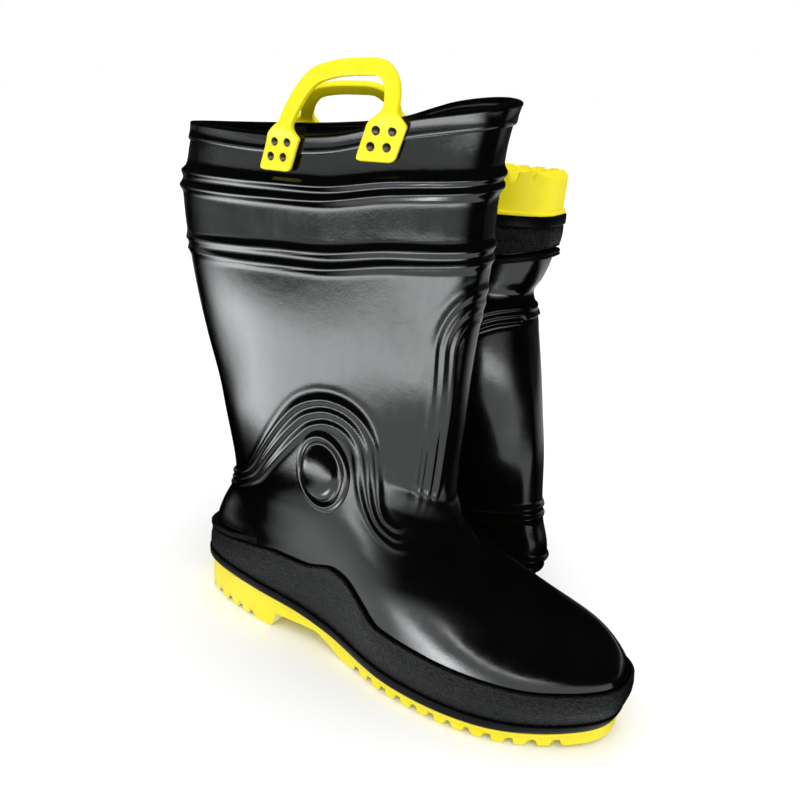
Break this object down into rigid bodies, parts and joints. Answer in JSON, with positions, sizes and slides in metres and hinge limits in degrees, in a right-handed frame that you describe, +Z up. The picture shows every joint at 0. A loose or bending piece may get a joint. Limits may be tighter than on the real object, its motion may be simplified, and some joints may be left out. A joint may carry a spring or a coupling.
{
  "type": "fire boots",
  "caption": "Pair of tall black rubber safety boots with yellow lugged soles and riveted pull handles, one boot standing and one upside down.",
  "frame": {"origin": "middle of the right boot's heel tread, on the ground", "axes": "+Z up along the shaft, +X from heel to toe of the right boot, +Y from the right boot towards the left one"},
  "size_m": [0.469, 0.2424, 0.4003],
  "materials": {
    "rubber_gloss": "glossy moulded black rubber",
    "rubber_textured": "matt black rubber with a pebbled texture",
    "sole_yellow": "satin lemon-yellow moulded sole",
    "handle_yellow": "satin yellow moulded loops",
    "rivet_dark": "dark plated rivets",
    "steel": "plain pressed steel",
    "board_fibre": "pressed fibre board",
    "lining_textile": "knitted textile",
    "footbed_foam": "textile over foam"
  },
  "bodies": {
    "right_boot": {"right_upper": "rubber_gloss", "right_collar_band": "rubber_gloss", "right_rand": "rubber_textured", "right_kick_spur": "rubber_textured", "right_outsole": "sole_yellow", "right_penetration_plate": "steel", "right_shank": "steel", "right_insole_board": "board_fibre", "right_toe_cap": "steel", "right_lining": "lining_textile", "right_footbed": "footbed_foam", "right_ankle_pad_lateral": "rubber_gloss", "right_handle_pad_lateral_rear": "handle_yellow", "right_rivets_lateral_rear": "rivet_dark", "right_handle_pad_lateral_front": "handle_yellow", "right_rivets_lateral_front": "rivet_dark", "right_ankle_pad_medial": "rubber_gloss", "right_handle_pad_medial_rear": "handle_yellow", "right_rivets_medial_rear": "rivet_dark", "right_handle_pad_medial_front": "handle_yellow", "right_rivets_medial_front": "rivet_dark"},
    "left_boot": {"left_upper": "rubber_gloss", "left_collar_band": "rubber_gloss", "left_rand": "rubber_textured", "left_kick_spur": "rubber_textured", "left_outsole": "sole_yellow", "left_penetration_plate": "steel", "left_shank": "steel", "left_insole_board": "board_fibre", "left_toe_cap": "steel", "left_lining": "lining_textile", "left_footbed": "footbed_foam", "left_ankle_pad_lateral": "rubber_gloss", "left_handle_pad_lateral_rear": "handle_yellow", "left_rivets_lateral_rear": "rivet_dark", "left_handle_pad_lateral_front": "handle_yellow", "left_rivets_lateral_front": "rivet_dark", "left_ankle_pad_medial": "rubber_gloss", "left_handle_pad_medial_rear": "handle_yellow", "left_rivets_medial_rear": "rivet_dark", "left_handle_pad_medial_front": "handle_yellow", "left_rivets_medial_front": "rivet_dark"},
    "right_loop_lateral": {"right_handle_loop_lateral": "handle_yellow"},
    "right_loop_medial": {"right_handle_loop_medial": "handle_yellow"},
    "left_loop_lateral": {"left_handle_loop_lateral": "handle_yellow"},
    "left_loop_medial": {"left_handle_loop_medial": "handle_yellow"}
  },
  "joints": [
    {"name": "left_boot_lift", "type": "slide", "parent": "right_boot", "child": "left_boot", "axis": [0, 0.5, 0.866], "range_m": [0, 0.5]},
    {"name": "right_loop_lateral_bend", "type": "hinge", "parent": "right_boot", "child": "right_loop_lateral", "pos_m": [0.09082, -0.03977, 0.36632], "axis": [0.9874, 0.0708, 0.1413], "range_deg": [-20, 95], "stiffness_Nm_per_rad": 0.4},
    {"name": "right_loop_medial_bend", "type": "hinge", "parent": "right_boot", "child": "right_loop_medial", "pos_m": [0.04614, 0.04038, 0.36772], "axis": [-0.9963, -0.0462, -0.0718], "range_deg": [-8, 130], "stiffness_Nm_per_rad": 0.4},
    {"name": "left_loop_lateral_bend", "type": "hinge", "parent": "left_boot", "child": "left_loop_lateral", "pos_m": [0.04018, 0.15966, 0.004], "axis": [0.9971, 0.0759, 0], "range_deg": [-120, 0], "stiffness_Nm_per_rad": 0.4},
    {"name": "left_loop_medial_bend", "type": "hinge", "parent": "left_boot", "child": "left_loop_medial", "pos_m": [0.08483, 0.07952, 0.004], "axis": [-0.9992, -0.041, 0], "range_deg": [-120, 0], "stiffness_Nm_per_rad": 0.4}
  ]
}
